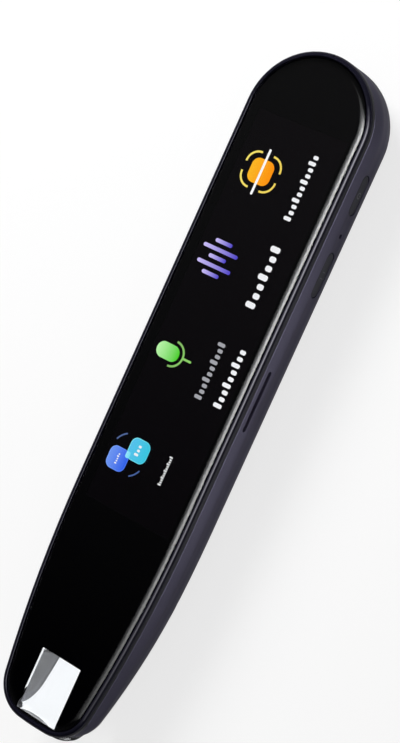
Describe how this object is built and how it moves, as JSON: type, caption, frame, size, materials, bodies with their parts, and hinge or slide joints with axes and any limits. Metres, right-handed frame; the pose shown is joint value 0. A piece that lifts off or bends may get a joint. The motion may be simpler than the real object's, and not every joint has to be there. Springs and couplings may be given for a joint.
{
  "type": "handheld translator",
  "caption": "Slim handheld translator with a full-length glass front, a clear scanning nose, side keys, a speaker grille on the back and its working parts inside.",
  "frame": {"origin": "on the resting plane under the middle of the body's width and length, with the device lying on its back", "axes": "+X towards the side with the keys, +Y along the body towards the round top end, +Z out of the screen"},
  "size_m": [0.0304, 0.158, 0.0165],
  "materials": {
    "shell_satin": "satin dark navy-grey moulded polycarbonate with a very fine spark texture",
    "frame_gloss": "polished black plastic rim",
    "cover_glass": "clear flat glass with polished rounded edges",
    "black_print": "opaque black ink on the inside of the glass",
    "clear_nose": "clear moulded polycarbonate",
    "plate_metal": "dark blue-grey anodised aluminium, brushed along its length",
    "key_satin": "satin dark navy-grey moulded key",
    "display_face": "dark liquid crystal panel with a lit picture",
    "light_guide": "white light guide in its tray",
    "tape_black": "thin black foam tape",
    "clear_adhesive": "thin bonding film",
    "chassis_plastic": "plain dark grey moulded plastic",
    "board_laminate": "green solder mask over glass laminate",
    "flex_film": "amber polyimide flex",
    "steel": "bright tinned steel sheet",
    "chip_black": "black moulded chip package",
    "socket_plastic": "pale moulded connector plastic",
    "battery_foil": "silver laminated foil",
    "mesh_cloth": "fine black acoustic cloth",
    "speaker_plastic": "black moulded speaker basket",
    "speaker_film": "thin dark membrane",
    "magnet_steel": "nickel plated magnet yoke",
    "boot_rubber": "soft black rubber",
    "lens_glass": "coated lens glass",
    "lamp_white": "pale yellow light emitting diode package",
    "spring_steel": "drawn spring wire"
  },
  "bodies": {
    "root": {"rear_shell": "shell_satin", "front_frame": "frame_gloss", "cover_glass": "cover_glass", "glass_print": "black_print", "glass_adhesive": "clear_adhesive", "display_panel": "display_face", "display_backlight": "light_guide", "display_tape": "tape_black", "display_flex": "flex_film", "inner_chassis": "chassis_plastic", "main_board": "board_laminate", "board_screws": "steel", "board_connectors": "socket_plastic", "processor_shield": "steel", "processor": "chip_black", "memory_chip": "chip_black", "wireless_shield": "steel", "power_chip": "chip_black", "battery": "battery_foil", "battery_pad": "tape_black", "battery_flex": "flex_film", "speaker_plate": "plate_metal", "speaker_mesh": "mesh_cloth", "speaker_gasket": "tape_black", "speaker_frame": "speaker_plastic", "speaker_diaphragm": "speaker_film", "speaker_magnet": "magnet_steel", "spring_contacts": "spring_steel", "power_switch": "steel", "function_switch": "steel", "side_key_flex": "flex_film", "side_key_bracket": "steel", "microphone": "steel", "microphone_boot": "boot_rubber", "card_socket": "steel", "usb_c_socket": "steel", "usb_c_tongue": "chip_black", "antenna": "flex_film", "antenna_contact": "spring_steel", "scan_bulkhead": "chassis_plastic", "camera_module": "chip_black", "camera_lens": "lens_glass", "camera_flex": "flex_film", "scan_light_board": "board_laminate", "scan_leds": "lamp_white", "tip_switch": "steel"},
    "power_button": {"power_button": "key_satin", "power_switch_plunger": "chip_black"},
    "function_button": {"function_button": "key_satin", "function_switch_plunger": "chip_black"},
    "scan_nose": {"scan_nose": "clear_nose", "nose_springs": "spring_steel", "tip_switch_plunger": "chip_black"}
  },
  "joints": [
    {"name": "power_button_press", "type": "slide", "parent": "root", "child": "power_button", "axis": [-1, 0, 0], "range_m": [0, 0.0003], "stiffness_N_per_m": 800},
    {"name": "function_button_press", "type": "slide", "parent": "root", "child": "function_button", "axis": [-1, 0, 0], "range_m": [0, 0.0003], "stiffness_N_per_m": 800},
    {"name": "scan_nose_press", "type": "slide", "parent": "root", "child": "scan_nose", "axis": [0, 1, 0], "range_m": [0, 0.0005], "stiffness_N_per_m": 600}
  ]
}
